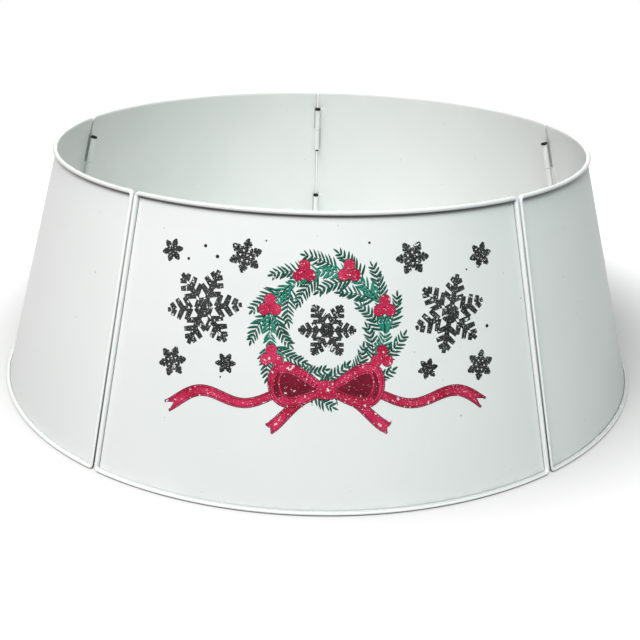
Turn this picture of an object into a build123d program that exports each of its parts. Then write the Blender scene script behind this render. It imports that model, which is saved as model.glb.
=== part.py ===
# Christmas tree collar: a ring of five curved sheet-metal panels that stands round the foot of a tree.
#
# The collar is a truncated cone, open at the top and at the base. Every panel is a thin sheet whose
# four edges are rolled round one closed loop of wire, so it has a stiff round bead all the way round.
# Neighbouring panels hang on two hinges each. A hinge is a rolled knuckle on one panel above a rolled
# knuckle on the next, on the inside of the wall, with a headed pin dropped through both.
#
# Frame: millimetres, +Z up, the origin at the centre of the ring on the surface it stands on.
# The front panel faces -Y. The joints between panels lie 36 degrees either side of -Y, at 108 degrees
# either side of it, and at the back on +Y.

from build123d import *
from math import asin, atan2, cos, degrees, hypot, radians, sin
import os

# Overall sizes
base_diameter = 660.0
top_diameter = 527.0
collar_height = 228.0

# Panels
panel_names = ["front", "right_front", "right_back", "left_back", "left_front"]
front_azimuth = -90.0
sheet_thickness = 0.5
wire_diameter = 2.9
wire_play = 0.05
joint_gap = 1.0
corner_bend_radius = 3.0
rest_flat_depth = 0.2
sheet_sink = 0.03
hem_slot_width = 0.7
quarter_arc_share = 0.5523

# Hinges
knuckle_length = 28.0
knuckle_gap = 0.6
knuckle_standoff = 1.3
knuckle_roll_turn = 310.0
hinge_drop = 22.3
hinge_spacing = 129.0
leaf_thickness = 0.95
leaf_width = 6.0
leaf_bend_width = 3.5
leaf_bend_radius = 1.5
leaf_bend_head_share = 0.26
leaf_corner_radius = 2.0
seat_gap = 0.02

# Hinge pins
pin_diameter = 4.0
pin_clearance = 0.05
pin_head_diameter = 7.0
pin_head_thickness = 1.2
pin_head_play = 0.1
pin_tip_reach = 3.0
pin_tip_chamfer = 0.6
pin_head_round = 0.4
open_pivot_clearance = 0.5

overrun = 5.0

# The joints, in order round the ring from the front towards +X. Each is followed by the side that
# carries its top knuckles: 1 is the panel after the joint in that order, and -1 is the one before it.
top_knuckle_sides = {
    "front_right": -1,
    "back_right": 1,
    "back_centre": -1,
    "back_left": -1,
    "front_left": 1,
}
open_joint = "back_centre"
hinge_names = ["upper_hinge", "lower_hinge"]

# Sizes worked out from the ones above
panel_angle = 360.0 / len(panel_names)
hem_bore_radius = wire_diameter / 2 + wire_play
bead_radius = hem_bore_radius + sheet_thickness
base_radius = base_diameter / 2 - bead_radius
top_radius = top_diameter / 2 - bead_radius
base_level = bead_radius - rest_flat_depth
top_level = collar_height - bead_radius
slant = hypot(base_radius - top_radius, top_level - base_level)
lean = degrees(atan2(base_radius - top_radius, top_level - base_level))
side_offset = joint_gap / 2 + bead_radius
sheet_inner = bead_radius - sheet_sink
sheet_outer = sheet_inner - sheet_thickness
knuckle_bore = pin_diameter + 2 * pin_clearance
knuckle_diameter = knuckle_bore + 2 * leaf_thickness
pin_axis_inset = bead_radius + knuckle_standoff + knuckle_diameter / 2
hinge_pitch = 2 * knuckle_length + knuckle_gap
pin_length = hinge_pitch + pin_head_play + pin_tip_reach
open_pin_length = knuckle_length + knuckle_gap - open_pivot_clearance + pin_head_play


def ring_point(radius, level, azimuth):
    """A point at a radius from the ring's axis, a level and an azimuth in degrees from +X."""
    return Vector(radius * cos(radians(azimuth)), radius * sin(radians(azimuth)), level)


def ring_direction(azimuth):
    """The level direction along the ring at an azimuth, anticlockwise seen from above."""
    return Vector(-sin(radians(azimuth)), cos(radians(azimuth)), 0)


# The wall's section plane: X runs outwards from the ring's axis and Y is up.
wall_plane = Plane.XZ

# The slanted edge line of the wall, through the middle of the beads, and its inward normal
edge_foot = Vector(base_radius, base_level)
edge_head = Vector(top_radius, top_level)
edge_up = (edge_head - edge_foot).normalized()
edge_inward = Vector(-edge_up.Y, edge_up.X)


def wall_corner(along, inward):
    """A point of the wall's section, given along the slanted edge line and inwards from it."""
    return edge_foot + edge_up * along + edge_inward * inward


# The closed loop that one panel's edge wire follows, for a panel whose middle is on +X
with BuildLine() as edge_loop:
    base_end = panel_angle / 2 - degrees(asin(side_offset / base_radius))
    top_end = panel_angle / 2 - degrees(asin(side_offset / top_radius))
    base_bend = base_end - degrees(corner_bend_radius / base_radius)
    top_bend = top_end - degrees(corner_bend_radius / top_radius)
    reach = quarter_arc_share * corner_bend_radius
    ThreePointArc(
        ring_point(base_radius, base_level, -base_bend),
        ring_point(base_radius, base_level, 0),
        ring_point(base_radius, base_level, base_bend),
    )
    for turn in (1, -1):
        low_corner = ring_point(base_radius, base_level, turn * base_end)
        high_corner = ring_point(top_radius, top_level, turn * top_end)
        side_up = (high_corner - low_corner).normalized()
        arc_foot = ring_point(base_radius, base_level, turn * base_bend)
        arc_head = ring_point(top_radius, top_level, turn * top_bend)
        side_foot = low_corner + side_up * corner_bend_radius
        side_head = high_corner - side_up * corner_bend_radius
        foot_pull = ring_direction(turn * base_bend) * (turn * reach)
        head_pull = ring_direction(turn * top_bend) * (turn * reach)
        Bezier(arc_foot, arc_foot + foot_pull, side_foot - side_up * reach, side_foot)
        Line(side_foot, side_head)
        Bezier(side_head, side_head + side_up * reach, arc_head + head_pull, arc_head)
    ThreePointArc(
        ring_point(top_radius, top_level, -top_bend),
        ring_point(top_radius, top_level, 0),
        ring_point(top_radius, top_level, top_bend),
    )
edge_path = edge_loop.wires()[0]
loop_start = Plane(origin=ring_point(base_radius, base_level, 0), x_dir=(1, 0, 0), z_dir=(0, 1, 0))

# The edge wire: one round wire bent to the panel's outline
with BuildPart() as edge_wire:
    with BuildSketch(loop_start):
        Circle(wire_diameter / 2)
    sweep(path=edge_path)

# The slot that the rolled hem leaves open along its four runs, between the end of the roll and the sheet's
# outer face. At the corners the roll is pressed shut.
slot_ceiling = sheet_outer - sheet_sink
slot_floor = slot_ceiling - hem_slot_width
slot_start = wire_diameter / 4
slot_end = bead_radius + sheet_thickness
with BuildPart() as hem_slots:
    for bend, rim, way in ((base_bend, 0, 1), (top_bend, slant, -1)):
        rim_start = Plane(origin=(0, 0, 0), x_dir=ring_point(1, 0, -bend), z_dir=-ring_direction(-bend))
        with BuildSketch(rim_start):
            with BuildLine():
                Polyline(
                    wall_corner(rim + way * slot_start, slot_floor),
                    wall_corner(rim + way * slot_end, slot_floor),
                    wall_corner(rim + way * slot_end, slot_ceiling),
                    wall_corner(rim + way * slot_start, slot_ceiling),
                    close=True,
                )
            make_face()
        revolve(axis=Axis.Z, revolution_arc=2 * bend)
    for turn in (1, -1):
        low_corner = ring_point(base_radius, base_level, turn * base_end)
        high_corner = ring_point(top_radius, top_level, turn * top_end)
        side_run = high_corner - low_corner
        # X runs from the side bead to the panel's middle, and Y lies across the wall
        side_plane = Plane(origin=low_corner, x_dir=ring_direction(turn * base_end) * -turn, z_dir=side_run)
        with BuildSketch(side_plane.offset(corner_bend_radius)):
            with BuildLine():
                Polyline(
                    (slot_start, -turn * slot_floor),
                    (slot_end, -turn * slot_floor),
                    (slot_end, -turn * slot_ceiling),
                    (slot_start, -turn * slot_ceiling),
                    close=True,
                )
            make_face()
        extrude(amount=side_run.length - 2 * corner_bend_radius)

# The panel's sheet: a slice of the cone's wall, from the middle of the base bead to that of the top one
with BuildPart() as sheet:
    with BuildSketch(wall_plane):
        with BuildLine():
            Polyline(
                wall_corner(0, sheet_outer),
                wall_corner(slant, sheet_outer),
                wall_corner(slant, sheet_inner),
                wall_corner(0, sheet_inner),
                close=True,
            )
        make_face()
    revolve(axis=Axis.Z, revolution_arc=360)
    for turn in (1, -1):
        low_corner = ring_point(base_radius, base_level, turn * base_end)
        high_corner = ring_point(top_radius, top_level, turn * top_end)
        side_out = ring_direction(turn * panel_angle / 2) * turn
        split(bisect_by=Plane(origin=low_corner, z_dir=side_out), keep=Keep.BOTTOM)

# The whole panel: the sheet, with its rolled hem round the wire's loop, cut flat where it stands
with BuildPart() as panel:
    add(sheet.part)
    with BuildSketch(loop_start):
        Circle(bead_radius)
    sweep(path=edge_path)
    with BuildSketch(loop_start):
        Circle(hem_bore_radius)
    sweep(path=edge_path, mode=Mode.SUBTRACT)
    add(hem_slots.part, mode=Mode.SUBTRACT)
    split(bisect_by=Plane.XY, keep=Keep.TOP)

# The space that the wall and its beads take, which a hinge leaf is cut away from to seat on the wall
with BuildPart() as wall_space:
    with BuildSketch(wall_plane):
        with BuildLine():
            Polyline(
                wall_corner(-overrun, -overrun),
                wall_corner(slant + overrun, -overrun),
                wall_corner(slant + overrun, bead_radius + seat_gap),
                wall_corner(-overrun, bead_radius + seat_gap),
                close=True,
            )
        make_face()
    revolve(axis=Axis.Z, revolution_arc=360)

# The hinge line of a joint on +X: X runs along the ring, Y inwards from the wall and Z up the slant
hinge_plane = Plane(
    origin=ring_point(base_radius, base_level, 0),
    x_dir=(0, 1, 0),
    z_dir=(edge_up.X, 0, edge_up.Y),
)
hinge_axis = Axis(hinge_plane.origin, hinge_plane.z_dir)
leaf_normal = Axis(hinge_plane.origin, hinge_plane.y_dir)


def hinge_knuckle(side, foot):
    """A knuckle rolled from one strip, which stands from a height up the slant.

    The strip lies on the wall to one side as the hinge's leaf, bends up to clear the beads and rolls round
    the pin, where its end stops short of the bend.
    """
    leaf_middle = bead_radius + leaf_thickness / 2
    roll_radius = (knuckle_bore + leaf_thickness) / 2
    roll_start = pin_axis_inset - roll_radius
    leaf_end = side * (leaf_bend_width + leaf_width)
    with BuildPart() as knuckle:
        with BuildSketch(hinge_plane.offset(foot)):
            with BuildLine():
                FilletPolyline(
                    (leaf_end, leaf_middle),
                    (side * leaf_bend_width, leaf_middle),
                    (side * leaf_bend_width * leaf_bend_head_share, roll_start),
                    (0, roll_start),
                    radius=leaf_bend_radius,
                )
                CenterArc((0, pin_axis_inset), roll_radius, -90, -side * knuckle_roll_turn)
            trace(line_width=leaf_thickness)
        extrude(amount=knuckle_length)
        fillet(knuckle.edges().filter_by(leaf_normal), leaf_corner_radius)
        add(wall_space.part, mode=Mode.SUBTRACT)
    return knuckle.part


def hinge_pin(seat, length):
    """A headed pin whose head's underside is at a height up the slant, with a chamfered tip."""
    with BuildPart() as pin:
        with BuildSketch(hinge_plane.offset(seat)):
            with Locations((0, pin_axis_inset)):
                Circle(pin_diameter / 2)
        extrude(amount=-length)
        chamfer(pin.edges().filter_by(GeomType.CIRCLE).sort_by(hinge_axis)[0], pin_tip_chamfer)
        with BuildSketch(hinge_plane.offset(seat)):
            with Locations((0, pin_axis_inset)):
                Circle(pin_head_diameter / 2)
        extrude(amount=pin_head_thickness)
        fillet(pin.edges().filter_by(GeomType.CIRCLE).sort_by(hinge_axis)[-1], pin_head_round)
    return pin.part


def write_piece(shape, azimuth, name):
    """Turn a piece that was made on +X to its place round the ring, and write it under its name."""
    with BuildPart() as placed:
        add(shape, rotation=(0, 0, azimuth))
    placed.part.label = name
    export_step(placed.part, f"parts/{name}.step")


os.makedirs("parts", exist_ok=True)

for place, panel_name in enumerate(panel_names):
    panel_azimuth = front_azimuth + place * panel_angle
    write_piece(panel.part, panel_azimuth, f"{panel_name}_panel")
    write_piece(edge_wire.part, panel_azimuth, f"{panel_name}_edge_wire")

for place, (joint_name, top_side) in enumerate(top_knuckle_sides.items()):
    joint_azimuth = front_azimuth + (place + 1 / 2) * panel_angle
    length = open_pin_length if joint_name == open_joint else pin_length
    for rank, hinge_name in enumerate(hinge_names):
        hinge_top = slant + bead_radius - hinge_drop - rank * hinge_spacing
        name = f"{joint_name}_{hinge_name}"
        top_knuckle = hinge_knuckle(top_side, hinge_top - knuckle_length)
        bottom_knuckle = hinge_knuckle(-top_side, hinge_top - hinge_pitch)
        write_piece(top_knuckle, joint_azimuth, f"{name}_top_knuckle")
        write_piece(bottom_knuckle, joint_azimuth, f"{name}_bottom_knuckle")
        write_piece(hinge_pin(hinge_top + pin_head_play, length), joint_azimuth, f"{name}_pin")

print("slant", round(slant, 2), "lean", round(lean, 2), "edge wire length", round(edge_path.length, 1))
print("pin axis inset", pin_axis_inset, "pin length", pin_length)
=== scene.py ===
# %% [markdown]
# # A metal collar for the foot of a Christmas tree
#
# Five curved panels of white-painted sheet steel hang on each other by hinges and make a ring that is wider at
# the base than at the top. The construction comes packed from CAD as a fixed frame of named parts. This lesson
# gives those parts their looks: the rolled edges, the paint, the black pins and a winter print on the front.
#
# The frame is loaded first.

# %% Load the frame
import math

import bmesh
import bpy
import numpy as np
from mathutils import Matrix, Vector


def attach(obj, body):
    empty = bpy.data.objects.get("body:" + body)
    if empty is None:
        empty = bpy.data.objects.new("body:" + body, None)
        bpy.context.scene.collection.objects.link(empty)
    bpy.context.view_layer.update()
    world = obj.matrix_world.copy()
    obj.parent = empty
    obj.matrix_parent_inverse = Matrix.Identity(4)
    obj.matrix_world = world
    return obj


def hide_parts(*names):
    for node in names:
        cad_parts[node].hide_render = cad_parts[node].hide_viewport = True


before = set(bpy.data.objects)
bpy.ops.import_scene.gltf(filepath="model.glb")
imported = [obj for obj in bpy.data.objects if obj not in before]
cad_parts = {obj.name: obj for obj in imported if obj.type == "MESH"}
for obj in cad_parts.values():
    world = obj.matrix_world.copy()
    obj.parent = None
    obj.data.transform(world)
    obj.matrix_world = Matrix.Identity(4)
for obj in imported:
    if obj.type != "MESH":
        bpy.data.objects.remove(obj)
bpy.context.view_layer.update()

# %% [markdown]
# ## The camera
#
# The camera was fitted to the rims and joints that the photograph shows: it looks down on the ring from in front,
# turned a little to one side and rolled a little. Its place is built up from turns and shifts about the point that it
# looks at, because each of them is then one number that can be checked by itself.

# %% Set up the camera
sensor_width_mm = 36.0
camera_lens_mm = 51.67
camera_distance = 1.0117
camera_elevation = math.radians(23.58)
camera_roll = math.radians(1.172)
camera_turn = math.radians(-1.468)
camera_target = (0.0016, 0.0, 0.0244)

camera_data = bpy.data.cameras.new("photo_camera")
camera_data.sensor_width = sensor_width_mm
camera_data.lens = camera_lens_mm
camera = bpy.data.objects.new("photo_camera", camera_data)
camera.matrix_world = (
    Matrix.Rotation(camera_turn, 4, "Z")
    @ Matrix.Translation(camera_target)
    @ Matrix.Rotation(math.pi / 2 - camera_elevation, 4, "X")
    @ Matrix.Rotation(camera_roll, 4, "Z")
    @ Matrix.Translation((0, 0, camera_distance))
)
bpy.context.scene.collection.objects.link(camera)
bpy.context.scene.camera = camera
bpy.context.scene.view_settings.view_transform = "Standard"
print("camera at", [round(value, 3) for value in camera.matrix_world.translation])

# %% [markdown]
# ## Nodes in a line or two
#
# Every finish below is a small network of shader nodes. One helper adds a node, sets its options and fills its
# inputs, each with a plain value or with another node's output, so that a material reads from top to bottom. The
# kinds that come up most, a noise, a change of range, a mix of two colours and a calculation, have a helper each.


# %% Make a helper for shader nodes
def add_node(tree, kind, inputs=None, **options):
    """Adds a node of a kind to a tree, sets its options and its inputs, and returns the node."""
    node = tree.nodes.new(kind)
    for option, value in options.items():
        setattr(node, option, value)
    for socket, value in (inputs or {}).items():
        if isinstance(value, bpy.types.NodeSocket):
            tree.links.new(value, node.inputs[socket])
        else:
            node.inputs[socket].default_value = value
    return node


def noise(tree, place, scale, detail=2.0):
    """A noise over a place."""
    return add_node(tree, "ShaderNodeTexNoise", {"Vector": place, "Scale": scale, "Detail": detail}).outputs["Fac"]


def remap(tree, value, start, stop, low=0.0, high=1.0, **options):
    """A value carried evenly from one range to another, and held at the ends."""
    return add_node(tree, "ShaderNodeMapRange", {
        "Value": value, "From Min": start, "From Max": stop, "To Min": low, "To Max": high}, **options).outputs[0]


def mix(tree, share, first, second):
    """The colour that lies a share of the way from a first one to a second."""
    return add_node(tree, "ShaderNodeMix", {"Factor": share, "A": first, "B": second},
                    data_type="RGBA").outputs["Result"]


def calculate(tree, operation, *values):
    """The result of an operation on two or three values."""
    return add_node(tree, "ShaderNodeMath", dict(enumerate(values)), operation=operation).outputs[0]


def new_material(name):
    """A material with an empty tree, and its Object coordinates, in metres."""
    material = bpy.data.materials.new(name)
    material.use_nodes = True
    tree = material.node_tree
    tree.nodes.clear()
    return material, tree, add_node(tree, "ShaderNodeTexCoord").outputs["Object"]


def show_surface(tree, shader):
    """Gives the tree's output its surface shader."""
    add_node(tree, "ShaderNodeOutputMaterial", {"Surface": shader})


# %% [markdown]
# ## The studio
#
# The photograph has a pure white ground with a soft grey shadow to the right. The floor is a card, which takes the
# shadow. Away from the ring it turns, for the camera and for reflections alone, into plain white light, and the world
# behind it is white in the same way. The card itself is white inside the ring and a mid grey outside, because the
# walls inside are brightest at the floor, which throws light up at them, and those outside are brightest at the top.

# %% Lay the floor
pure_white = (1.0, 1.0, 1.0, 1.0)
floor_radius = 4.0
floor_sides = 64
floor_sink = 0.0002
card_outside = (0.3, 0.3, 0.3, 1.0)
card_inside = (0.85, 0.85, 0.85, 1.0)
inside_reach, outside_reach = 0.30, 0.33
fade_middle = (0.034, 0.062, 0.0)
fade_start, fade_stop = 0.21, 0.55

floor_mesh = bpy.data.meshes.new("studio_floor")
floor_turn = np.linspace(0, 2 * math.pi, floor_sides, endpoint=False)
floor_ring = np.stack([np.cos(floor_turn), np.sin(floor_turn), floor_turn * 0], axis=-1) * floor_radius
floor_mesh.from_pydata(floor_ring - [0, 0, floor_sink], [], [list(range(len(floor_ring)))])
floor = bpy.data.objects.new("studio_floor", floor_mesh)
bpy.context.scene.collection.objects.link(floor)


def seen_directly(tree):
    """One for a ray from the camera, or one that a glossy or clear surface sends on, and nought for the rest."""
    ray = add_node(tree, "ShaderNodeLightPath").outputs
    shiny = calculate(tree, "MAXIMUM", ray["Is Glossy Ray"], ray["Is Transmission Ray"])
    return calculate(tree, "MAXIMUM", ray["Is Camera Ray"], shiny)


floor_material, tree, place = new_material("white_card_floor")
from_fade = add_node(tree, "ShaderNodeVectorMath", {0: place, 1: fade_middle}, operation="DISTANCE")
whiteness = remap(tree, from_fade.outputs["Value"], fade_start, fade_stop, interpolation_type="SMOOTHSTEP")
light_share = calculate(tree, "MULTIPLY", seen_directly(tree), whiteness)
white_light = add_node(tree, "ShaderNodeEmission", {"Color": pure_white, "Strength": light_share})
from_ring = add_node(tree, "ShaderNodeVectorMath", {0: place}, operation="LENGTH")
outside_share = remap(tree, from_ring.outputs["Value"], inside_reach, outside_reach)
white_card = add_node(tree, "ShaderNodeBsdfDiffuse", {"Color": mix(tree, outside_share, card_inside, card_outside)})
show_surface(tree, add_node(tree, "ShaderNodeAddShader", {0: white_card.outputs[0],
                                                          1: white_light.outputs[0]}).outputs[0])
floor_mesh.materials.append(floor_material)

# %% [markdown]
# ## The lamps
#
# Two large soft lamps hang high in front, one to the left and one straight ahead, so the walls shade off to the
# right. A narrow lamp above the middle shines down inside the ring. Light adds up, so the powers and tints were
# fitted: the scene was rendered with one lamp at a time, and the sum was brought to the brightness of the walls in
# the photograph, where a white wall stays just below pure white. A weaker lamp stands low behind the ring, for
# whoever walks round it: so low, it lights the back panels and hardly reaches what is seen from the front.

# %% Light the scene
air_light = 0.06
backdrop_light = 1.0
lamp_aim = Vector((0, 0, 0.1))

world = bpy.data.worlds.new("studio_air")
world.use_nodes = True
world.node_tree.nodes.clear()
seen = seen_directly(world.node_tree)
dim_air = add_node(world.node_tree, "ShaderNodeBackground", {"Color": pure_white, "Strength": air_light})
backdrop = add_node(world.node_tree, "ShaderNodeBackground", {"Color": pure_white, "Strength": backdrop_light})
air = add_node(world.node_tree, "ShaderNodeMixShader", {0: seen, 1: dim_air.outputs[0], 2: backdrop.outputs[0]})
add_node(world.node_tree, "ShaderNodeOutputWorld", {"Surface": air.outputs[0]})
bpy.context.scene.world = world


def hang_lamp(name, place, size, power, colour, spread=180):
    """A square area lamp at a place, turned to the middle of the ring, whose light spreads by so many degrees."""
    lamp = bpy.data.lights.new(name, "AREA")
    lamp.shape = "SQUARE"
    lamp.size = size
    lamp.energy = power
    lamp.color = colour
    lamp.spread = math.radians(spread)
    holder = bpy.data.objects.new(name, lamp)
    holder.location = place
    holder.rotation_euler = (lamp_aim - Vector(place)).to_track_quat("-Z", "Y").to_euler()
    bpy.context.scene.collection.objects.link(holder)


hang_lamp("left_lamp", (-0.9, -1.5, 2.5), 1.6, 59.5, (1.0, 0.86, 0.883))
hang_lamp("front_lamp", (0.0, -1.6, 2.5), 1.6, 53.0, (0.83, 1.0, 0.965))
hang_lamp("ring_lamp", (0.0, 0.05, 2.2), 0.3, 0.23, (0.95, 1.0, 0.8), spread=22)
hang_lamp("back_lamp", (0.25, 2.7, 0.55), 1.0, 26.0, (0.96, 0.985, 1.0))

# %% [markdown]
# ## From a flat blank to a cone
#
# A metalworker cuts each panel flat and then rolls it. The lesson does the same. Everything on a panel is drawn on
# the flat blank, across and up in metres, and one function rolls a point of the blank up into the wall. The sizes
# are the ones that the construction has.

# %% Set the driving sizes
panel_names = ["front", "right_front", "right_back", "left_back", "left_front"]
panel_turn = 2 * math.pi / len(panel_names)
front_azimuth = -math.pi / 2
base_diameter = 0.660
top_diameter = 0.527
collar_height = 0.228
bead_radius = 0.002
rest_flat_depth = 0.0002
sheet_thickness = 0.0005
joint_gap = 0.001
corner_bend = 0.003
knuckle_length = 0.028
knuckle_gap = 0.0006
hinge_drop = 0.0223
hinge_spacing = 0.129

base_radius = base_diameter / 2 - bead_radius
top_radius = top_diameter / 2 - bead_radius
base_level = bead_radius - rest_flat_depth
top_level = collar_height - bead_radius
lean = math.atan2(base_radius - top_radius, top_level - base_level)
apex_to_base = base_radius / math.sin(lean)
apex_to_top = top_radius / math.sin(lean)
slant = apex_to_base - apex_to_top
half_angle = panel_turn / 2 * math.sin(lean)
side_offset = joint_gap / 2 + bead_radius
print("slant", round(slant, 4), "lean", round(math.degrees(lean), 2), "apex", round(apex_to_base, 4))


# %% Roll the blank up
def blank_place(reach, turn):
    """The point of the flat blank at a distance from the cone's apex and an angle from the blank's middle line."""
    return np.stack([reach * np.sin(turn), apex_to_base - reach * np.cos(turn)], axis=-1)


def roll_up(flat, inward, azimuth):
    """Rolls points of the flat blank up into the wall of a panel whose middle lies at an azimuth.

    A point's distance from the apex gives its radius, that distance times the sine of the lean, and its level.
    Its angle about the apex, divided by the sine of the lean, gives how far round the ring it lies. Inward is laid
    off along the wall's own normal, which points to the ring's axis and down.
    """
    across, up = flat[..., 0], flat[..., 1]
    reach = np.hypot(across, apex_to_base - up)
    round_ring = azimuth + np.arctan2(across, apex_to_base - up) / math.sin(lean)
    radius = reach * math.sin(lean) - inward * math.cos(lean)
    level = base_level + (apex_to_base - reach) * math.cos(lean) - inward * math.sin(lean)
    return np.stack([radius * np.cos(round_ring), radius * np.sin(round_ring), level], axis=-1)


# %% [markdown]
# ## A panel with a rolled hem
#
# The sheet's edge is rolled round a wire, which makes the round bead on all four sides. The roll is left open by a
# narrow slot against the outer face, and that slot, its shade and a painted shade laid along it draw the fine dark
# line along the beads.
#
# The section of the hem is a short profile of lines and arcs. It is carried round the blank's outline, where at each
# corner it swings round one fixed point. The two faces between are grids of the same spacing, so their borders fall
# on the profile's ends and the whole panel is one closed mesh.


# %% Draw the hem and the outline
base_curl, side_curl, top_curl = np.radians([308, 300, 288])
curl_steps = 24
strip_shares = np.array([0.0, 0.1, 0.19, 0.28, 0.37, 0.5, 0.75])
across_steps = 72
side_steps = 78
top_row = 0.001
bend_steps = 6


def hem_profile(facing):
    """The sheet's closed edge, as outward distance from the bead's middle and inward distance from the wall.

    It runs along the inner face, rolls out round the wire through the curl's turn at the bead's radius, steps in by
    the sheet's thickness, comes back inside the roll, and ends on the outer face. The curl is tightest at the base
    and most open at the top, and follows the sine of the way that the hem faces.
    """
    curl = np.interp(np.sin(facing), [-1, 0, 1], [base_curl, side_curl, top_curl])
    turn = math.pi / 2 - curl[:, None] * np.linspace(0, 1, curl_steps + 1)
    strip = corner_bend * (strip_shares - 1) + turn[:, :1] * 0
    roll_radius = bead_radius - sheet_thickness
    outward = [strip, bead_radius * np.cos(turn), roll_radius * np.cos(turn[:, ::-1]), strip[:, ::-1]]
    inward = [strip * 0 + bead_radius, bead_radius * np.sin(turn), roll_radius * np.sin(turn[:, ::-1]),
              strip * 0 + roll_radius]
    return np.concatenate(outward, axis=1), np.concatenate(inward, axis=1)


def side_places():
    """The right-hand border of the panel's two faces, as distances from the apex and angles from the middle."""
    inset = side_offset + corner_bend
    low = math.sqrt((apex_to_base - corner_bend) ** 2 - inset ** 2)
    high = math.sqrt((apex_to_top + corner_bend) ** 2 - inset ** 2)
    along = np.append(np.linspace(low, high + top_row, side_steps), high)
    return np.hypot(along, inset), half_angle - np.arctan2(inset, along)


def blank_outline():
    """The border of the faces and the way outwards from it, in order round the blank from its lower left corner."""
    reach, turn = side_places()
    sweep = np.linspace(-1, 1, across_steps + 1)
    base, top = turn[0] * sweep, -turn[-1] * sweep
    corner_share = np.linspace(0, 1, bend_steps + 1)[1:-1]
    quarter = math.pi / 2
    borders = [
        (blank_place(reach[0], base), base - quarter),
        (blank_place(reach, turn), turn * 0 + half_angle),
        (blank_place(reach[-1], top), quarter + top),
        (blank_place(reach[::-1], -turn[::-1]), turn * 0 + math.pi - half_angle),
    ]
    points, facing = [], []
    for number, (line, ways) in enumerate(borders):
        next_way = borders[(number + 1) % len(borders)][1][0]
        if next_way < ways[-1]:
            next_way += 2 * math.pi
        bend = ways[-1] + (next_way - ways[-1]) * corner_share
        points += [line, np.repeat(line[-1:], len(bend), axis=0)]
        facing += [ways, bend]
    return np.concatenate(points), np.concatenate(facing)


def grid_faces(rows, columns, close_rows=False):
    """The four-sided faces of a grid of points, counted row by row. With closed rows the last row meets the first."""
    row, column = np.meshgrid(np.arange(rows if close_rows else rows - 1), np.arange(columns - 1), indexing="ij")
    after = (row + 1) % rows
    corners = [row * columns + column, row * columns + column + 1, after * columns + column + 1,
               after * columns + column]
    return np.stack(corners, axis=-1).reshape(-1, 4)


# %% Make a piece from grids
merge_distance = 0.000002


def closed_piece(name, grids, attribute=None):
    """Joins grids of points into one closed, smooth mesh whose faces point outwards.

    Each grid is its points, whether its rows close, and one value a point. Where borders meet, the points are merged.
    """
    mesh = bpy.data.meshes.new(name)
    points = np.concatenate([grid.reshape(-1, 3) for grid, closed, values in grids])
    faces, first = [], 0
    for grid, closed, values in grids:
        rows, columns = grid.shape[:2]
        faces.append(first + grid_faces(rows, columns, closed))
        first += rows * columns
    mesh.from_pydata(points, [], np.concatenate(faces))
    if attribute:
        layer = mesh.attributes.new(attribute, "FLOAT", "POINT")
        layer.data.foreach_set("value", np.concatenate([values.ravel() for grid, closed, values in grids]))
    shape = bmesh.new()
    shape.from_mesh(mesh)
    bmesh.ops.remove_doubles(shape, verts=shape.verts, dist=merge_distance)
    bmesh.ops.recalc_face_normals(shape, faces=shape.faces)
    open_edges = sum(not edge.is_manifold for edge in shape.edges)
    shape.to_mesh(mesh)
    shape.free()
    mesh.polygons.foreach_set("use_smooth", np.ones(len(mesh.polygons), bool))
    piece = bpy.data.objects.new(name, mesh)
    bpy.context.scene.collection.objects.link(piece)
    print(name, len(mesh.polygons), "faces,", open_edges, "open edges")
    return piece


# %% Work out a panel's hem and faces
# Painted shade in the slots, on the flanks between panels, under the base run and beside the hinges, and a painted
# highlight on the beads.
slot_start = 0.0012
top_slot_stop, top_slot_fade, top_slot_shade = 0.0023, 0.0009, 0.94
side_slot_start, side_slot_stop, side_slot_fade, side_slot_shade = 0.0017, 0.00195, 0.0002, 0.85
side_slot_level = 0.0012
base_slot_stop, base_slot_fade, base_slot_shade, base_slot_shade_gain = 0.0025, 0.0007, 0.25, 0.2
run_start = 0.7
flank_fade = 0.0006
flank_low_start, flank_start, foot_share = 0.0002, 0.0010, 0.08
flank_shade = np.array([[0.0, 0.3, 1.0], [1.0, 0.9, 0.65]])
inner_flank_start, inner_flank_shade = 0.0005, 0.25
underside_start, underside_shade = 0.0002, 0.9
hinge_shade_start, hinge_shade_stop, hinge_shade_fade = 0.0005, 0.0014, 0.0004
hinge_shade_strength = 0.6
top_outer_highlight, base_outer_highlight = -0.15, 0.45


def window(value, start, stop, fade):
    """One between a start and a stop, falling evenly to nought over the fade outside them."""
    return np.clip(np.minimum(value - start, stop - value) / fade + 1, 0, 1)


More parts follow.
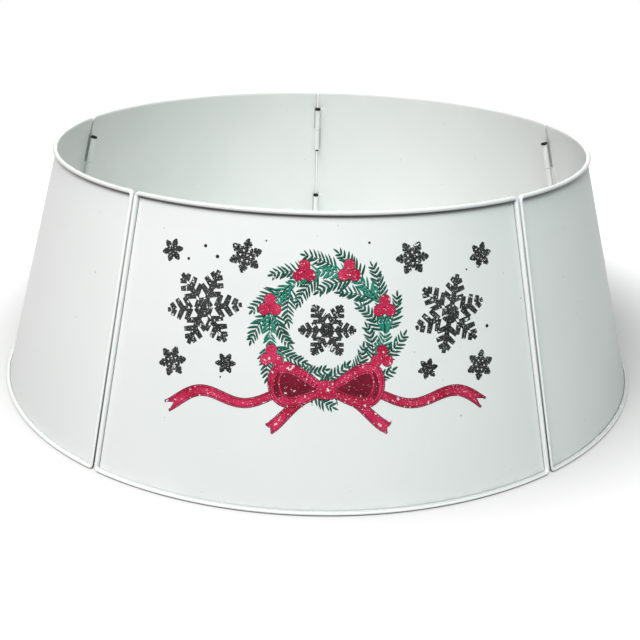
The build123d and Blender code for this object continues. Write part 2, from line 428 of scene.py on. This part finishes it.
def hem_painted_light(outward, inward, facing, border, round_slot_shade):
    """Painted light on the hem: up to one for painted shade, and down to minus one for a painted highlight.

    The round slot shade is the share of painted shade that lies above the base run at each place round the ring.

    Painted shade lies in the slot beside the bead, on the outer side of the top run and in a narrower line on the
    side runs, where it keeps to the face at the slot's foot. Above the base run it is fainter, and grows towards the
    ring's shaded right side. It lies on the flanks that face the next panel, where the gap between panels is shaded,
    more towards the base and less on the inner side; on the underside of the base run, where it meets the floor; and
    on the inner side beside the hinges. Each place is a window on the distance out from the bead's middle. The shares
    of the top, base and side runs follow the sine of the way that the hem faces. The painted highlight makes the bead
    lightest on the side runs and on the inner half of the others, and a little darker on the outer half of the top
    run.
    """
    level = np.sin(facing)[:, None]
    up_share = border[:, 1:] / slant
    top_run = np.interp(level, [run_start, 1], [0, 1])
    base_run = np.interp(-level, [run_start, 1], [0, 1])
    side_run = 1 - top_run - base_run
    outside = inward < bead_radius - sheet_thickness / 2
    off_bead = outward < -slot_start
    # Painted shade in the slot under the top run's bead.
    top_slot = outside * off_bead * top_run * top_slot_shade * window(
        -outward, slot_start, top_slot_stop, top_slot_fade)
    # Painted shade in the crevice beside the side runs' beads.
    side_slot = outside * (inward > side_slot_level) * (side_run + top_run) * side_slot_shade * window(
        -outward, side_slot_start, side_slot_stop, side_slot_fade)
    # Painted shade above the base run, stronger on the ring's shaded right side.
    base_slot = outside * off_bead * base_run * round_slot_shade * window(
        -outward, slot_start, base_slot_stop, base_slot_fade)
    # Painted shade on the bead flanks in the gap between panels.
    flank_from = np.interp(up_share, [0, foot_share], [flank_low_start, flank_start])
    flank = side_run * np.where(
        inward < 0, np.interp(up_share, *flank_shade) * np.clip((outward - flank_from) / flank_fade, 0, 1),
        inner_flank_shade * np.clip((outward - inner_flank_start) / flank_fade, 0, 1))
    # Painted shade under the base run, where it meets the floor.
    underside = base_run * underside_shade * np.clip((outward - underside_start) / flank_fade, 0, 1)
    # Painted shade on the inner side beside the hinges' knuckles.
    from_top = np.hypot(border[:, :1], apex_to_base - border[:, 1:]) - apex_to_top + bead_radius
    hinge_rows = sum(window(from_top, drop, drop + 2 * knuckle_length + knuckle_gap, corner_bend)
                     for drop in (hinge_drop, hinge_drop + hinge_spacing))
    hinge_shade = ~outside * side_run * hinge_rows * hinge_shade_strength * window(
        -outward, hinge_shade_start, hinge_shade_stop, hinge_shade_fade)
    painted_shade = np.max([top_slot, side_slot, base_slot, flank, underside, hinge_shade], axis=0)
    # A painted highlight on the beads, lightest on the side runs and the inner halves.
    outer_highlight = side_run + top_outer_highlight * top_run + base_outer_highlight * base_run
    bead_highlight = outer_highlight + (1 - outer_highlight) * np.interp(inward, [-bead_radius / 2, bead_radius / 2], [0, 1])
    return painted_shade - bead_highlight * (1 - painted_shade) * (outward > -slot_start) * (1 - side_run * (inward > 0))


def panel_grids(azimuth):
    """The hem and the two faces of a panel, each with its painted shade and highlight at every point.

    The top slot's painted shade fades out over the first row of the outer face, which is close to the border for
    that.
    """
    border, facing = blank_outline()
    outward, inward = hem_profile(facing)
    way = np.stack([np.cos(facing), np.sin(facing)], axis=-1)
    flat = border[:, None, :] + way[:, None, :] * (corner_bend + outward)[..., None]
    hem = roll_up(flat, inward, azimuth)
    hem[..., 2] = np.maximum(hem[..., 2], 0)
    # The painted shade above the base run grows towards the ring's shaded right side.
    round_slot_shade = base_slot_shade + base_slot_shade_gain * hem[..., 0] / np.hypot(hem[..., 0], hem[..., 1])
    grids = [(hem, True, hem_painted_light(outward, inward, facing, border, round_slot_shade))]

    reach, turn = side_places()
    sweep = np.linspace(-1, 1, across_steps + 1)
    face = blank_place(reach[:, None] * np.ones_like(sweep), turn[:, None] * sweep)
    below_bead = reach[:, None] - apex_to_top + 0 * sweep
    # The top slot's painted shade reaches onto the outer face's first row.
    outer_painted_shade = top_slot_shade * window(below_bead, slot_start, top_slot_stop, top_slot_fade)
    for level, tone in ((bead_radius, 0 * outer_painted_shade), (bead_radius - sheet_thickness, outer_painted_shade)):
        grids.append((roll_up(face, level, azimuth), False, tone))
    return grids


# %% [markdown]
# ## White paint on sheet steel
#
# The collar is painted white, a little cool, with a satin skin. Its tone drifts slowly over the sheet, the skin has
# the fine dimples of sprayed paint, and a few grey specks lie in it. The painted light that the mesh stores moves the
# paint to a lighter white, a painted highlight, on the rolled edges, and to dark grey, a painted shade, in the slots,
# between the panels and beside the hinges. A knuckle stores none, so there the distance from the wall takes its
# place: painted shade lies in the crease against the wall, and the barrel that stands off it gets a painted
# highlight.

# %% Mix the white paint
white_low, white_high = (0.775, 0.806, 0.798, 1), (0.818, 0.84, 0.834, 1)
# A painted highlight's lighter white and a painted shade's dark grey.
painted_highlight_white = (0.905, 0.92, 0.915, 1)
painted_shade_grey = (0.05, 0.053, 0.045, 1)
speck_grey = (0.3, 0.31, 0.3, 1)
drift_scale, drift_detail = 7.0, 3.0
drift_low, drift_high = 0.35, 0.65
speck_scale, speck_detail = 260.0, 1.0
speck_start, speck_full, speck_share = 0.79, 0.82, 0.6
dimple_scale, dimple_strength, dimple_depth = 420.0, 0.12, 0.0002
paint_gloss, paint_shine = (0.36, 0.5), 0.5


def speckled_white(tree, place):
    """The colour of the bare paint, and the slow noise that it follows."""
    slow = noise(tree, place, drift_scale, drift_detail)
    white = mix(tree, remap(tree, slow, drift_low, drift_high), white_low, white_high)
    grains = noise(tree, place, speck_scale, speck_detail)
    specks = remap(tree, grains, speck_start, speck_full, high=speck_share)
    return mix(tree, specks, white, speck_grey), slow


def paint_skin(tree, place, slow, colour, shine=paint_shine):
    """A satin skin over a colour, with fine dimples and a gloss that drifts with the slow noise."""
    skin = add_node(tree, "ShaderNodeBump", {
        "Height": noise(tree, place, dimple_scale), "Strength": dimple_strength, "Distance": dimple_depth})
    return add_node(tree, "ShaderNodeBsdfPrincipled", {
        "Base Color": colour, "Roughness": remap(tree, slow, 0, 1, *paint_gloss), "Specular IOR Level": shine,
        "Normal": skin.outputs[0]}).outputs[0]


def white_paint(name, measure, highlight_range, shade_range):
    """White paint that a measure moves to a painted highlight over one range of its values, and to painted shade over
    another.
    """
    material, tree, place = new_material(name)
    white, slow = speckled_white(tree, place)
    amount = measure(tree, place)
    for shade, (start, stop, most) in ((painted_highlight_white, highlight_range), (painted_shade_grey, shade_range)):
        white = mix(tree, remap(tree, amount, start, stop, high=most), white, shade)
    show_surface(tree, paint_skin(tree, place, slow, white))
    return material


def stored_painted_light(tree, place):
    """The painted shade and highlight that the mesh stores."""
    return add_node(tree, "ShaderNodeAttribute", attribute_name="hem_painted_light").outputs["Fac"]


def wall_distance(tree, place):
    """How far in from the wall's middle line a point lies: the wall's radius at its level less its own radius."""
    level = add_node(tree, "ShaderNodeSeparateXYZ", {"Vector": place}).outputs["Z"]
    flat_place = add_node(tree, "ShaderNodeVectorMath", {0: place, 1: (1, 1, 0)}, operation="MULTIPLY")
    radius = add_node(tree, "ShaderNodeVectorMath", {0: flat_place.outputs[0]}, operation="LENGTH").outputs["Value"]
    apex_radius = base_radius + base_level * math.tan(lean)
    wall_radius = calculate(tree, "MULTIPLY_ADD", level, -math.tan(lean), apex_radius)
    return calculate(tree, "SUBTRACT", wall_radius, radius)


# %% Make the five panels
# The stored painted light runs from a painted highlight at minus one to painted shade at one.
highlight_tone_range, shade_tone_range = (0, -1, 1), (0, 1, 1)
sheet_paint = white_paint("white_sheet_paint", stored_painted_light, highlight_tone_range, shade_tone_range)
for number, name in enumerate(panel_names):
    panel = closed_piece(f"{name}_painted_panel", panel_grids(front_azimuth + number * panel_turn), "hem_painted_light")
    panel.data.materials.append(sheet_paint)
    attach(panel, f"{name}_side")
    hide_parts(f"{name}_panel")

# %% [markdown]
# ## Knuckles, wires and pins
#
# The rolled knuckles, the edge wires and most pins already have their right shape in the frame, so they only need
# their finish. The knuckles have the sheet's paint, the wires are drawn steel with fine streaks, and the pins are
# blackened steel, rubbed a little bare by the knuckles.

# %% Mix the metals
wire_dark, wire_light = (0.2, 0.205, 0.21, 1), (0.42, 0.43, 0.44, 1)
wire_scale, wire_detail, wire_gloss = 900.0, 3.0, (0.28, 0.5)
oxide_black, rubbed_black = (0.005, 0.005, 0.0055, 1), (0.018, 0.018, 0.019, 1)
rub_scale, rub_detail, rub_start, rub_full = 700.0, 4.0, 0.58, 0.72
pin_gloss, pin_shine = (0.4, 0.65), 0.15


def drawn_steel():
    """Grey steel with a fine grain and uneven gloss."""
    material, tree, place = new_material("drawn_wire_steel")
    grain = noise(tree, place, wire_scale, wire_detail)
    show_surface(tree, add_node(tree, "ShaderNodeBsdfPrincipled", {
        "Base Color": mix(tree, grain, wire_dark, wire_light), "Metallic": 1.0,
        "Roughness": remap(tree, grain, 0, 1, *wire_gloss)}).outputs[0])
    return material


def black_steel():
    """Black oxide on steel, with brighter rubbed patches where a noise runs high."""
    material, tree, place = new_material("black_pin_steel")
    rub = noise(tree, place, rub_scale, rub_detail)
    tone = mix(tree, remap(tree, rub, rub_start, rub_full), oxide_black, rubbed_black)
    show_surface(tree, add_node(tree, "ShaderNodeBsdfPrincipled", {
        "Base Color": tone, "Roughness": remap(tree, rub, 0, 1, *pin_gloss),
        "Specular IOR Level": pin_shine}).outputs[0])
    return material


# %% Finish the frame's own parts
# The barrel that stands off the wall gets a painted highlight, and the crease against the wall a painted shade.
barrel_highlight, crease_shade = (0.0045, 0.0065, 0.35), (0.0022, 0.0020, 0.3)
hinge_paint = white_paint("white_hinge_paint", wall_distance, barrel_highlight, crease_shade)
wire_steel = drawn_steel()
pin_steel = black_steel()
finishes = {"_knuckle": hinge_paint, "_edge_wire": wire_steel, "_pin": pin_steel}
for ending, finish in finishes.items():
    parts = [part for name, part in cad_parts.items() if name.endswith(ending)]
    for part in parts:
        part.data.materials.clear()
        part.data.materials.append(finish)
    print(finish.name, "on", len(parts), "parts")

# %% [markdown]
# ## The two pins at the back
#
# The ring opens at its back joint, so the frame cuts the two pins there short. The photograph shows them at their
# full length, with the tip below the lower knuckle. Each is a round profile turned about the hinge's axis, which
# leans with the wall.

# %% Turn the back pins
back_azimuth = math.pi / 2
pin_axis_inset = 0.0063
pin_radius = 0.002
pin_head_radius = 0.0035
pin_head_height = 0.0012
pin_head_round = 0.0004
pin_head_play = 0.0001
pin_tip_reach = 0.003
pin_tip_chamfer = 0.0006
pin_sides, pin_round_steps = 48, 6


def pin_profile():
    """The pin's outline from the tip's middle to the head's middle, as radius and height above the head's seat."""
    tip = -(2 * knuckle_length + knuckle_gap + pin_head_play + pin_tip_reach)
    bend = np.linspace(0, math.pi / 2, pin_round_steps + 1)
    radius = [0, pin_radius - pin_tip_chamfer, pin_radius, pin_radius, pin_head_radius]
    height = [tip, tip, tip + pin_tip_chamfer, 0, 0]
    round_radius = pin_head_radius - pin_head_round + pin_head_round * np.cos(bend)
    round_height = pin_head_height - pin_head_round + pin_head_round * np.sin(bend)
    return np.concatenate([radius, round_radius, [0]]), np.concatenate([height, round_height, [pin_head_height]])


def turned_pin(seat, azimuth):
    """A grid that turns the profile about the hinge's axis.

    Each point is the axis's place at the profile's height, plus the profile's radius times a direction that goes
    round in the plane square to the axis.
    """
    radius, height = pin_profile()
    turn = np.linspace(0, 2 * math.pi, pin_sides, endpoint=False)[:, None, None]
    out = np.array([math.cos(azimuth), math.sin(azimuth), 0])
    along_ring = np.array([-math.sin(azimuth), math.cos(azimuth), 0])
    up = -out * math.sin(lean) + np.array([0, 0, math.cos(lean)])
    inward = -out * math.cos(lean) - np.array([0, 0, math.sin(lean)])
    foot = out * base_radius + np.array([0, 0, base_level]) + inward * pin_axis_inset
    spoke = along_ring * np.cos(turn) + inward * np.sin(turn)
    return foot + up * (seat + height)[None, :, None] + spoke * radius[None, :, None]


for rank, level in enumerate(["upper", "lower"]):
    seat = slant + bead_radius - hinge_drop - rank * hinge_spacing + pin_head_play
    pin = closed_piece(f"back_centre_{level}_full_pin", [(turned_pin(seat, back_azimuth), True, None)])
    pin.data.materials.append(pin_steel)
    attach(pin, f"back_centre_{level}_hinge_pin")
    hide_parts(f"back_centre_{level}_hinge_pin")

# %% [markdown]
# ## A winter print
#
# The front panel carries a print in charcoal, crimson and green. This one is a plain seasonal design: a wreath of fir
# sprigs with berries and a bow, between snowflakes. Screen ink is a thin film on the paint, so every stroke is a thin
# plate whose foot lies just inside the sheet and whose top stands a few hundredths of a millimetre proud of it.
#
# A stroke is a middle line with a width at each place along it. All strokes of a kind are worked out at once, as one
# array of strokes by places, on the flat blank, and are then rolled up with it.

# %% Set the sizes of the print
ink_foot = 0.00002
ink_level = 0.00004
ink_step = 0.000012
outline_width = 0.0010
least_length = 1e-9


def polar(length, angle):
    """The vector of a length at an angle."""
    return np.stack([length * np.cos(angle), length * np.sin(angle)], axis=-1)


def square_to(lines):
    """The unit vector to the left of each line at each place, square to the way that the line goes there."""
    way = np.gradient(lines, axis=1)
    way /= np.maximum(np.linalg.norm(way, axis=-1, keepdims=True), least_length)
    return np.stack([-way[..., 1], way[..., 0]], axis=-1)


def stroke_plates(lines, widths, layer):
    """Thin plates along many strokes.

    A stroke's two edges lie half its width to the left and right of its middle line. The plate joins these edges at
    the foot, inside the sheet, to the same edges at the top of its layer of ink.
    """
    side = square_to(lines) * widths[..., None] / 2
    outer_face = bead_radius - sheet_thickness
    top = outer_face - ink_level - np.reshape(layer, (-1, 1)) * ink_step
    foot = outer_face + ink_foot
    edges = [roll_up(lines + turn * side, inward, front_azimuth)
             for turn, inward in ((1, foot), (-1, foot), (-1, top), (1, top))]
    return np.stack(edges, axis=2)


def plate_faces(strokes, places):
    """The faces of the plates: four walls between each place and the next, and a cap at each end."""
    stroke, place, wall = np.meshgrid(np.arange(strokes), np.arange(places - 1), np.arange(4), indexing="ij")
    first = (stroke * places + place) * 4
    after = (wall + 1) % 4
    walls = np.stack([first + wall, first + after, first + 4 + after, first + 4 + wall], axis=-1)
    ends = np.arange(strokes)[:, None] * places * 4 + np.arange(4)
    return np.concatenate([walls.reshape(-1, 4), ends, ends + (places - 1) * 4])


def ink_piece(name, groups, material):
    """One piece of print, made of all the plates of a colour."""
    mesh = bpy.data.meshes.new(name)
    points = np.concatenate([plates.reshape(-1, 3) for plates in groups])
    faces, first = [], 0
    for plates in groups:
        faces.append(first + plate_faces(*plates.shape[:2]))
        first += plates.size // 3
    mesh.from_pydata(points, [], np.concatenate(faces))
    shape = bmesh.new()
    shape.from_mesh(mesh)
    bmesh.ops.recalc_face_normals(shape, faces=shape.faces)
    shape.to_mesh(mesh)
    shape.free()
    mesh.materials.append(material)
    piece = bpy.data.objects.new(name, mesh)
    bpy.context.scene.collection.objects.link(piece)
    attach(piece, "front_side")
    print(name, sum(len(plates) for plates in groups), "strokes,", len(mesh.polygons), "faces")


# %% [markdown]
# ## The inks
#
# Each ink is mixed with the white paint by two noises, a coarse and a fine one, so the print has the small bare
# flecks of a worn stencil. How much is bare is one number for each ink.

# %% Mix the inks
blotch_scale, blotch_detail = 60.0, 3.0
fleck_scales = (330.0, 1100.0)
fleck_edge = 0.03
ink_shine = 0.15


def worn_ink(name, deep, light, bare_from):
    """An ink between two shades, with bare flecks where either of two noises runs above a level."""
    material, tree, place = new_material(name)
    white, slow = speckled_white(tree, place)
    blotch = noise(tree, place, blotch_scale, blotch_detail)
    ink = mix(tree, remap(tree, blotch, drift_low, drift_high), deep, light)
    worn = [remap(tree, noise(tree, place, scale), bare_from, bare_from + fleck_edge) for scale in fleck_scales]
    colour = mix(tree, calculate(tree, "MAXIMUM", *worn), ink, white)
    show_surface(tree, paint_skin(tree, place, slow, colour, shine=ink_shine))
    return material


black_ink = worn_ink("black_ink", (0.010, 0.012, 0.012, 1), (0.022, 0.025, 0.025, 1), 0.70)
slate_ink = worn_ink("slate_ink", (0.012, 0.014, 0.014, 1), (0.04, 0.044, 0.044, 1), 0.65)
crimson_ink = worn_ink("crimson_ink", (0.40, 0.010, 0.045, 1), (0.60, 0.035, 0.11, 1), 0.665)
dark_crimson_ink = worn_ink("dark_crimson_ink", (0.12, 0.004, 0.014, 1), (0.2, 0.008, 0.03, 1), 0.69)
green_ink = worn_ink("green_ink", (0.010, 0.20, 0.13, 1), (0.025, 0.31, 0.22, 1), 0.69)
dark_green_ink = worn_ink("dark_green_ink", (0.006, 0.075, 0.05, 1), (0.011, 0.125, 0.085, 1), 0.69)

# %% [markdown]
# ## The wreath
#
# A fir sprig is a bent stem with needles on both sides, which get shorter towards its tip. The wreath is a ring of
# such sprigs, which all point the same way round. The first rings lean outwards and inwards in dark green, and the
# last one lies along the wreath on top of them in light green. Every needle has a black line along its lower side,
# as in a woodcut: the same needle in black, moved down a little, one layer below.

# %% Draw one ring of sprigs
needle_pairs = 8
needle_length = 0.0108
needle_width = 0.0015
needle_angle = math.radians(52)
needle_bow = 0.1
needle_shade = np.array([0.00035, -0.0005])
needle_span = (0.05, 0.92)
needle_turn_range, needle_length_range = (0.8, 1.15), (0.85, 1.1)
needle_shortening = 0.55
places_along = np.linspace(0, 1, 6)
needle_swell = np.array([0.55, 0.95, 1.0, 0.9, 0.6, 0.06])
draws = np.random.default_rng(7)


def draw_sprigs(feet, ways, length, bend):
    """The stems and needles of many sprigs.

    A stem starts at its foot and turns by the bend over its length. A needle starts on the stem, turned off to one
    side by the needle's angle, and bows back towards the tip. The last one runs straight on from the stem.
    """
    def along_stem(share):
        return feet[:, None, :] + polar(length * share, ways[:, None] + bend * share / 2)

    stems = along_stem(np.broadcast_to(places_along, (len(feet), len(places_along))))
    share = np.append(np.repeat(np.linspace(*needle_span, needle_pairs), 2), 1)
    side = np.append(np.tile([1, -1], needle_pairs), 0)
    roots = along_stem(np.broadcast_to(share, (len(feet), len(share))))
    off = ways[:, None] + bend * share + side * needle_angle * draws.uniform(*needle_turn_range, roots.shape[:2])
    reach = needle_length * (1 - needle_shortening * share) * draws.uniform(*needle_length_range, roots.shape[:2])
    bow = off[..., None] - side[None, :, None] * needle_bow * places_along
    needles = roots[:, :, None, :] + polar(reach[..., None] * places_along, bow)
    return stems, needles.reshape(-1, len(places_along), 2)


# %% Lay the wreath
wreath_middle = np.array([0.0, 0.145])
wreath_rings = {"outer": (13, 0.047, 30, 3), "inner": (11, 0.043, -30, 5), "middle": (11, 0.045, -2, 7)}
sprig_length = 0.027
sprig_bend = 0.5
sprig_jitter = 0.05
stem_width, stem_root_share = 0.0010, 1.1
stem_swell = stem_width * (stem_root_share - places_along)
ring_strokes = {}
for ring, (count, radius, lean_out, layer) in wreath_rings.items():
    turn = np.linspace(0, 2 * math.pi, count, endpoint=False) + draws.uniform(-sprig_jitter, sprig_jitter, count)
    ways = turn + math.pi / 2 - math.radians(lean_out)
    stems, needles = draw_sprigs(wreath_middle + polar(radius, turn), ways, sprig_length, sprig_bend)
    widths = np.broadcast_to(needle_width * needle_swell, needles.shape[:2])
    stem_widths = np.broadcast_to(stem_swell, stems.shape[:2])
    ring_strokes[ring] = (needles, widths, layer, stems, stem_widths)
    print(ring, "ring:", len(stems), "sprigs,", len(needles), "needles")

# %% [markdown]
# ## Berries, snowflakes and dots
#
# A round spot is also a stroke: its width at each place is the chord of the circle there. A snowflake is six arms
# with pairs of side twigs, and a small six-sided ring round its middle.

# %% Draw the berries and snowflakes
spot_places = 15
snowflakes = [
    (-0.0985, 0.160, 0.032, 0.10), (0.0995, 0.157, 0.0315, 0.35), (0.0, 0.145, 0.0225, 0.0),
    (-0.064, 0.201, 0.0135, 0.3), (0.066, 0.201, 0.0135, 0.1), (-0.126, 0.116, 0.0125, 0.2),
    (0.128, 0.115, 0.0125, 0.4), (-0.080, 0.117, 0.0085, 0.0), (0.081, 0.114, 0.0085, 0.25),
    (-0.126, 0.204, 0.0095, 0.15), (0.126, 0.203, 0.0105, 0.3),
]
twig_shares = [(0.34, 0.32), (0.57, 0.29), (0.79, 0.18)]
arm_width_share, arm_taper, snow_ring_share = 0.11, 0.75, 0.2
snow_layer = 1
spot_start = 0.02
dot_count, dot_clearance = 110, 0.003
dot_field_across, dot_field_up = (-0.134, 0.134), (0.104, 0.214)
dot_radii = (0.0006, 0.0015)
wreath_reach = 0.072
berry_radius, berry_ring, berry_offset = 0.0045, 0.048, 0.0050


def draw_spots(middles, radius):
    """Discs as strokes: places at even turns across each disc, each as wide as the disc is there."""
    turn = np.linspace(spot_start, math.pi - spot_start, spot_places)
    radius = np.broadcast_to(radius, len(middles))
    across = np.stack([-np.cos(turn), turn * 0], axis=-1)
    return middles[:, None, :] + radius[:, None, None] * across, 2 * radius[:, None] * np.sin(turn)


def draw_snowflake(x, y, radius, turn):
    """The arms, twigs and ring of one snowflake, as strokes of three places each."""
    middle = np.array([x, y])
    arms = turn + np.arange(6) * math.pi / 3
    places = np.linspace(0, 1, 3)
    lines = [middle + polar(radius * places[None, :], arms[:, None])]
    for share, length in twig_shares:
        root = middle + polar(radius * share, arms)
        for side in (1, -1):
            lines.append(root[:, None, :] + polar(radius * length * places[None, :],
                                                  arms[:, None] + side * math.pi / 3))
    corners = middle + polar(radius * snow_ring_share, arms)
    lines.append(corners[:, None, :] + (np.roll(corners, -1, axis=0) - corners)[:, None, :] * places[None, :, None])
    lines = np.concatenate(lines)
    width = radius * arm_width_share * np.ones(lines.shape[:2])
    width[:, -1] *= arm_taper
    return lines, width


berry_turn = np.radians([22, 70, 112, 158, 206, 334])
berry_spread = polar(berry_offset, np.radians([90, 210, 330]))
berry_middles = (wreath_middle + polar(berry_ring, berry_turn))[:, None, :] + berry_spread
berries = draw_spots(berry_middles.reshape(-1, 2), berry_radius)
dot_across, dot_up = draws.uniform(*dot_field_across, dot_count), draws.uniform(*dot_field_up, dot_count)
dot_middles = np.stack([dot_across, dot_up], axis=-1)
dot_middles = dot_middles[np.hypot(*(dot_middles - wreath_middle).T) > wreath_reach]
for x, y, radius, turn in snowflakes:
    dot_middles = dot_middles[np.hypot(dot_middles[:, 0] - x, dot_middles[:, 1] - y) > radius + dot_clearance]
dots = draw_spots(dot_middles, draws.uniform(*dot_radii, len(dot_middles)))
flakes = [draw_snowflake(*flake) for flake in snowflakes]
print(len(berries[0]), "berries,", len(flakes), "snowflakes,", len(dots[0]), "dots")

# %% [markdown]
# ## The bow
#
# The bow is one flat ribbon. A loop leaves the knot, swings out and comes back, like half of a figure of eight, and
# the tails wave away and end in a notch. The inside of each loop is the ribbon's shaded back, and a thin darker line
# runs along both edges of the ribbon.

# %% Draw the bow
bow_middle = np.array([0.0, 0.0985])
ribbon_width = 0.0092
loop_reach, loop_rise, loop_lift, loop_roundness = 0.041, 0.0135, 0.005, 0.85
loop_gap = 0.0002
loop_root_share, loop_swell_power = 0.5, 0.5
notch_start, notch_depth = 0.94, 0.96
tail_root, tail_drop_power = 0.004, 0.8
tail_root_share, swing_root_share = 0.55, 0.4
ribbon_tails = [(1, 0.011, 3.15, 0.128, 0.0075), (-1, 0.013, 3.3, 0.127, 0.0075),
                (1, 0.026, 1.6, 0.046, 0.005), (-1, 0.027, 1.5, 0.041, 0.005)]
edge_share, edge_width = 0.34, 0.0005
knot_reach, knot_height = 0.0068, 0.0148
knot_swell = np.array([[0.78, 0.93, 0.98, 1, 1, 1, 0.98, 0.93, 0.78]])
crease_start, crease_stop, crease_width, crease_steps = 0.0075, 0.018, 0.0008, 6
crease_tip_share = 0.1
crease_slopes = np.array([[1, 0.15], [-1, 0.15], [1, -0.22], [-1, -0.22]])
loop_places = np.linspace(0, 1, 41)
tail_places = np.linspace(0, 1, 51)


def draw_loop(side):
    """One loop: its reach follows a half sine, and its height a whole sine, lifted towards the far end."""
    reach = side * loop_reach * np.sin(math.pi * loop_places) ** loop_roundness
    rise = loop_rise * np.sin(2 * math.pi * loop_places) + loop_lift * np.sin(math.pi * loop_places)
    return bow_middle + np.stack([reach, rise], axis=-1)


def loop_inside(loops):
    """What the loops go round: the way out and the way back have the same reach at mirrored places, and the inside
    runs along the middle between them and is as wide as they are apart."""
    half = loop_places.size // 2
    out, back = loops[:, :half], loops[:, ::-1][:, :half]
    return (out + back) / 2, np.abs(out - back)[..., 1] + loop_gap


def grown(root_share, growth):
    """A share that starts at the root's and grows to the whole."""
    return root_share + (1 - root_share) * growth


def draw_tail(side, drop, waves, reach, swing):
    """One tail: it goes out evenly, sinks by its drop and waves with a sine that grows from the knot."""
    wave = swing * np.sin(waves * math.pi * tail_places) * grown(swing_root_share, tail_places)
    rise = wave - drop * tail_places ** tail_drop_power
    return bow_middle + np.stack([side * (tail_root + reach * tail_places), rise], axis=-1)


def notched(lines, widths):
    """Each ribbon as its two halves, side by side. Near the end the split between them opens into a notch."""
    split = np.clip((tail_places - notch_start) / (1 - notch_start), 0, notch_depth)
    middle, half = (1 + split) / 4 * widths, (1 - split) / 2 * widths
    across = square_to(lines) * middle[..., None]
    return np.concatenate([lines + across, lines - across]), np.concatenate([half, half])


def edge_lines(lines, widths):
    """Two thin lines along a ribbon, a little inside its edges."""
    across = square_to(lines) * (edge_share * widths)[..., None]
    return np.concatenate([lines + across, lines - across]), np.full((2 * len(lines), lines.shape[1]), edge_width)


loops = np.stack([draw_loop(1), draw_loop(-1)])
loop_swell = np.sin(math.pi * loop_places) ** loop_swell_power
loop_widths = ribbon_width * np.broadcast_to(grown(loop_root_share, loop_swell), loops.shape[:2])
tails = np.stack([draw_tail(*tail) for tail in ribbon_tails])
tail_widths = ribbon_width * np.broadcast_to(grown(tail_root_share, tail_places), tails.shape[:2])
halves, half_widths = notched(tails, tail_widths)
inside, inside_widths = loop_inside(loops)
knot_across = np.linspace(-knot_reach, knot_reach, knot_swell.size)
knot = (bow_middle + np.stack([knot_across, knot_across * 0], axis=-1))[None]
knot_widths = knot_height * knot_swell
crease_places = np.linspace(crease_start, crease_stop, crease_steps)
creases = bow_middle + crease_slopes[:, None, :] * crease_places[None, :, None]
crease_taper = np.linspace(1, crease_tip_share, crease_steps)
crease_widths = np.broadcast_to(crease_width * crease_taper, creases.shape[:2])
print("bow:", len(loops), "loops and", len(tails), "tails, each ribbon", ribbon_width, "wide")

# %% Print the front
def outlined(lines, widths, layer):
    """The black edge of some strokes: the same strokes, a little wider, one layer below."""
    return stroke_plates(lines, widths + outline_width, layer - 1)


tail_layer, inside_layer, loop_layer, knot_layer = 9, 11, 12, 14
stem_rise, edge_rise, crease_rise = 0.5, 0.5, 0.7
black = [outlined(halves, half_widths, tail_layer), outlined(inside, inside_widths, inside_layer),
         outlined(loops, loop_widths, loop_layer), outlined(*berries, loop_layer),
         outlined(knot, knot_widths, knot_layer), stroke_plates(*dots, snow_layer)]
black += [outlined(*flake, snow_layer) for flake in flakes]
for needles, widths, layer, stems, stem_widths in ring_strokes.values():
    black += [stroke_plates(needles + needle_shade, widths, layer - 1),
              stroke_plates(stems, stem_widths, layer + stem_rise)]
ink_piece("front_print_black", black, black_ink)
ink_piece("front_print_slate", [stroke_plates(*flake, snow_layer) for flake in flakes], slate_ink)
ink_piece("front_print_dark_green", [stroke_plates(*ring_strokes[ring][:3]) for ring in ("outer", "inner")],
          dark_green_ink)
ink_piece("front_print_green", [stroke_plates(*ring_strokes["middle"][:3])], green_ink)
ink_piece("front_print_dark_crimson", [
    stroke_plates(inside, inside_widths, inside_layer),
    stroke_plates(*edge_lines(tails, tail_widths), tail_layer + edge_rise),
    stroke_plates(*edge_lines(loops, loop_widths), loop_layer + edge_rise),
    stroke_plates(creases, crease_widths, loop_layer + crease_rise)], dark_crimson_ink)
ink_piece("front_print_crimson", [
    stroke_plates(halves, half_widths, tail_layer), stroke_plates(loops, loop_widths, loop_layer),
    stroke_plates(*berries, loop_layer), stroke_plates(knot, knot_widths, knot_layer)], crimson_ink)
